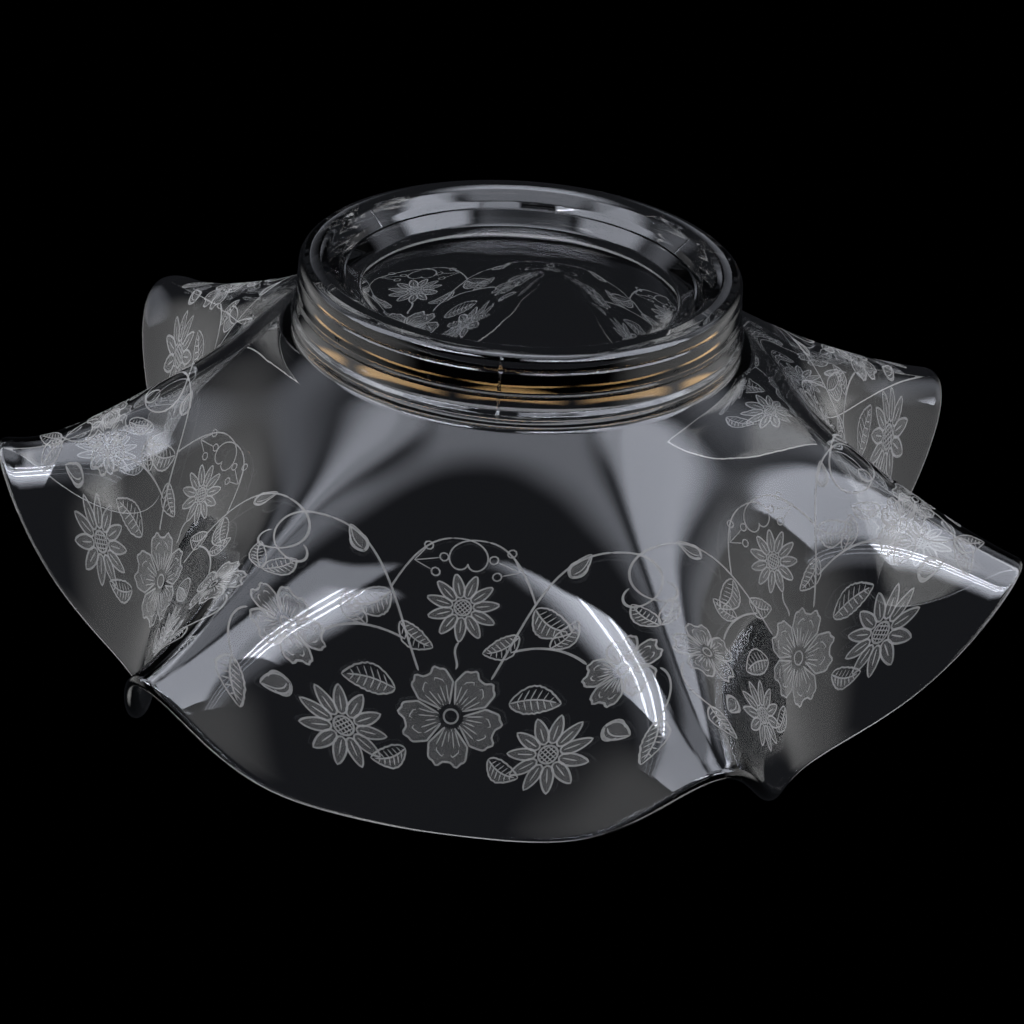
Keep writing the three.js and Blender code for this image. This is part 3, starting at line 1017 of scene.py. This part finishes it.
def table_top():
    """A round floor just under the foot, with a fan of faces in its middle."""
    azimuth = np.arange(0.0, 360.0, TABLE_FACET_ANGLE)
    rows = [polar(radius, azimuth, -TABLE_DROP) for radius in TABLE_RADII]
    columns = len(azimuth)
    points = np.concatenate([*rows, [[0.0, 0.0, -TABLE_DROP]]])
    faces = ring_faces(len(rows), columns).tolist()
    middle = len(points) - 1
    faces += [[middle, here, (here + 1) % columns] for here in range(columns)]
    made = mesh_object("table_top", points, faces)
    made.data.materials.append(pale_floor())


def photo_camera():
    """The camera of the photograph, turned with the bowl from overturned to upright."""
    tilt = math.radians(CAMERA_TILT)
    forward = Vector((0.0, math.cos(tilt), -math.sin(tilt)))
    right = Vector((1.0, 0.0, 0.0))
    axes = Matrix((right, right.cross(forward), forward))
    roll = Matrix.Rotation(math.radians(-CAMERA_ROLL), 3, "Z")
    middle = IMAGE_SIZE / 2.0
    aim = Vector(((AIM_PIXEL_X - middle) / FOCAL_PIXELS, (middle - AIM_PIXEL_Y) / FOCAL_PIXELS, 1.0))
    to_aim = Vector((0.0, 0.0, 1.0)).rotation_difference(aim).to_matrix()
    upright = Matrix.Diagonal((-1.0, 1.0, -1.0))
    right, up, forward = to_aim @ roll @ axes @ upright
    camera = bpy.data.cameras.new("photo_camera")
    camera.sensor_width = SENSOR_WIDTH
    camera.lens = FOCAL_PIXELS / IMAGE_SIZE * SENSOR_WIDTH
    camera.clip_start = 0.01
    holder = bpy.data.objects.new("photo_camera", camera)
    holder.rotation_euler = Matrix((right, up, -forward)).transposed().to_euler()
    back = CAMERA_DISTANCE * math.cos(tilt)
    down = CAMERA_DISTANCE * math.sin(tilt)
    holder.location = Vector((0.0, -back, AIM_HEIGHT - down)) * MM
    bpy.context.scene.collection.objects.link(holder)
    bpy.context.scene.camera = holder


photo_camera()
bpy.context.scene.view_settings.view_transform = "Standard"
studio()
table_top()

bowl = glass_bowl()
bowl.data.materials.append(clear_glass(hand_worked_surface()))
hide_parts("bowl")
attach(bowl, "root")

grain = etch_grain()
line_finish = frosted("etched_line", grain, *LINE_GREYS, LINE_COVER)
frost_finish = frosted("etched_frost", grain, *FROST_GREYS, FROST_COVER)
drawing = draw_spray()
for number, (crimp, gap) in enumerate(zip(CRIMPS, crimp_gaps()), start=1):
    middle_azimuth = crimp[0] + gap / 2.0
    lines = stroke_mesh(f"etched_spray_{number}", drawing.strokes, middle_azimuth)
    lines.data.materials.append(line_finish)
    frost = patch_mesh(f"etched_frost_{number}", drawing.patches, middle_azimuth)
    frost.data.materials.append(frost_finish)
    for piece in (lines, frost):
        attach(piece, "root")
